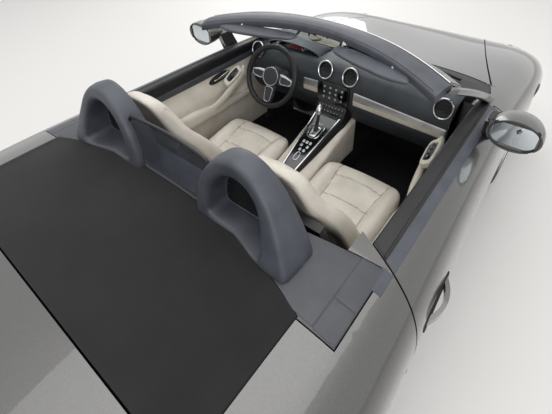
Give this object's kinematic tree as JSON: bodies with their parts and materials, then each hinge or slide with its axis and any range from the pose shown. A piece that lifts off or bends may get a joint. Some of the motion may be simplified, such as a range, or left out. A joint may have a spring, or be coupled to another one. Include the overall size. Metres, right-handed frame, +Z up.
{
  "type": "two-seat convertible car",
  "caption": "Open two-seat convertible car with roll hoops, folded cloth top, opening doors and lids, steering front wheels and rolling wheels.",
  "frame": {"origin": "on the floor below the middle of the car's length and width", "axes": "+X forward, +Y to the car's left, +Z up"},
  "size_m": [4.379, 1.9948, 1.2218],
  "materials": {
    "body_paint": "glossy metallic dark grey",
    "black_plastic": "satin black",
    "dark_grey_plastic": "satin slate grey",
    "underbody": "dull dark coating",
    "cover_fabric": "charcoal black woven cloth",
    "cream_leather": "soft cream leather",
    "window_glass": "clear",
    "smoked_pane": "smoked clear",
    "lamp_glass": "clear lamp lens",
    "red_lens": "red lamp lens",
    "dash_plastic": "graphite soft plastic",
    "wheel_alloy": "silver painted alloy",
    "tyre": "black rubber",
    "steel": "bare grey metal",
    "exhaust_steel": "brushed steel"
  },
  "bodies": {
    "body": {"floor_tub": "underbody", "front_luggage_tub": "underbody", "rear_frame": "underbody", "rear_luggage_tub": "underbody", "front_bumper": "body_paint", "front_fender_left": "body_paint", "front_fender_right": "body_paint", "quarter_left": "body_paint", "quarter_right": "body_paint", "rear_bumper": "body_paint", "cowl": "black_plastic", "windshield_frame": "body_paint", "windshield_glass": "window_glass", "header_fittings": "dark_grey_plastic", "dashboard": "dash_plastic", "centre_console": "dash_plastic", "seat_cushion_left": "cream_leather", "seat_cushion_right": "cream_leather", "seat_back_left": "cream_leather", "seat_back_right": "cream_leather", "seat_frames": "black_plastic", "roll_hoops": "dark_grey_plastic", "wind_deflector": "smoked_pane", "soft_top": "cover_fabric", "deck_flaps": "dark_grey_plastic", "air_grilles": "black_plastic", "rear_diffuser": "black_plastic", "wipers": "black_plastic", "headlights": "lamp_glass", "tail_lights": "red_lens", "engine": "steel", "exhaust": "exhaust_steel", "front_suspension": "steel", "rear_suspension": "steel"},
    "door_left": {"door_left": "body_paint", "door_card_left": "cream_leather", "mirror_left": "body_paint"},
    "door_right": {"door_right": "body_paint", "door_card_right": "cream_leather", "mirror_right": "body_paint"},
    "front_lid": {"front_lid": "body_paint"},
    "rear_lid": {"rear_lid": "body_paint"},
    "steering_wheel": {"steering_wheel": "black_plastic"},
    "knuckle_left": {"knuckle_left": "steel"},
    "knuckle_right": {"knuckle_right": "steel"},
    "wheel_front_left": {"wheel_front_left": "wheel_alloy", "tyre_front_left": "tyre"},
    "wheel_front_right": {"wheel_front_right": "wheel_alloy", "tyre_front_right": "tyre"},
    "wheel_rear_left": {"wheel_rear_left": "wheel_alloy", "tyre_rear_left": "tyre"},
    "wheel_rear_right": {"wheel_rear_right": "wheel_alloy", "tyre_rear_right": "tyre"}
  },
  "joints": [
    {"name": "front_lid_hinge", "type": "hinge", "parent": "body", "child": "front_lid", "pos_m": [0.864, 0, 0.861], "axis": [0, -1, 0], "range_deg": [0, 55]},
    {"name": "rear_lid_hinge", "type": "hinge", "parent": "body", "child": "rear_lid", "pos_m": [-1.186, 0, 0.91], "axis": [0, 1, 0], "range_deg": [0, 60]},
    {"name": "door_left_hinge", "type": "hinge", "parent": "body", "child": "door_left", "pos_m": [0.706, 0.84, 0.6], "axis": [0, 0, -1], "range_deg": [0, 62]},
    {"name": "door_right_hinge", "type": "hinge", "parent": "body", "child": "door_right", "pos_m": [0.706, -0.84, 0.6], "axis": [0, 0, 1], "range_deg": [0, 62]},
    {"name": "steer_left", "type": "hinge", "parent": "body", "child": "knuckle_left", "pos_m": [1.262, 0.69, 0.335], "axis": [0, 0, 1], "range_deg": [-33, 33]},
    {"name": "steer_right", "type": "hinge", "parent": "body", "child": "knuckle_right", "pos_m": [1.262, -0.69, 0.335], "axis": [0, 0, 1], "range_deg": [-33, 33]},
    {"name": "steering_wheel_turn", "type": "hinge", "parent": "body", "child": "steering_wheel", "pos_m": [0.323, 0.36, 0.827], "axis": [-0.9063, 0, 0.4226], "range_deg": [-500, 500]},
    {"name": "roll_front_left", "type": "hinge", "parent": "knuckle_left", "child": "wheel_front_left", "pos_m": [1.262, 0.757, 0.335], "axis": [0, 1, 0], "continuous": true},
    {"name": "roll_front_right", "type": "hinge", "parent": "knuckle_right", "child": "wheel_front_right", "pos_m": [1.262, -0.757, 0.335], "axis": [0, 1, 0], "continuous": true},
    {"name": "roll_rear_left", "type": "hinge", "parent": "body", "child": "wheel_rear_left", "pos_m": [-1.213, 0.764, 0.347], "axis": [0, 1, 0], "continuous": true},
    {"name": "roll_rear_right", "type": "hinge", "parent": "body", "child": "wheel_rear_right", "pos_m": [-1.213, -0.764, 0.347], "axis": [0, 1, 0], "continuous": true}
  ],
  "couplings": [
    {"joint": "steer_right", "follows": "steer_left", "ratio": 1},
    {"joint": "steering_wheel_turn", "follows": "steer_left", "ratio": 15}
  ]
}
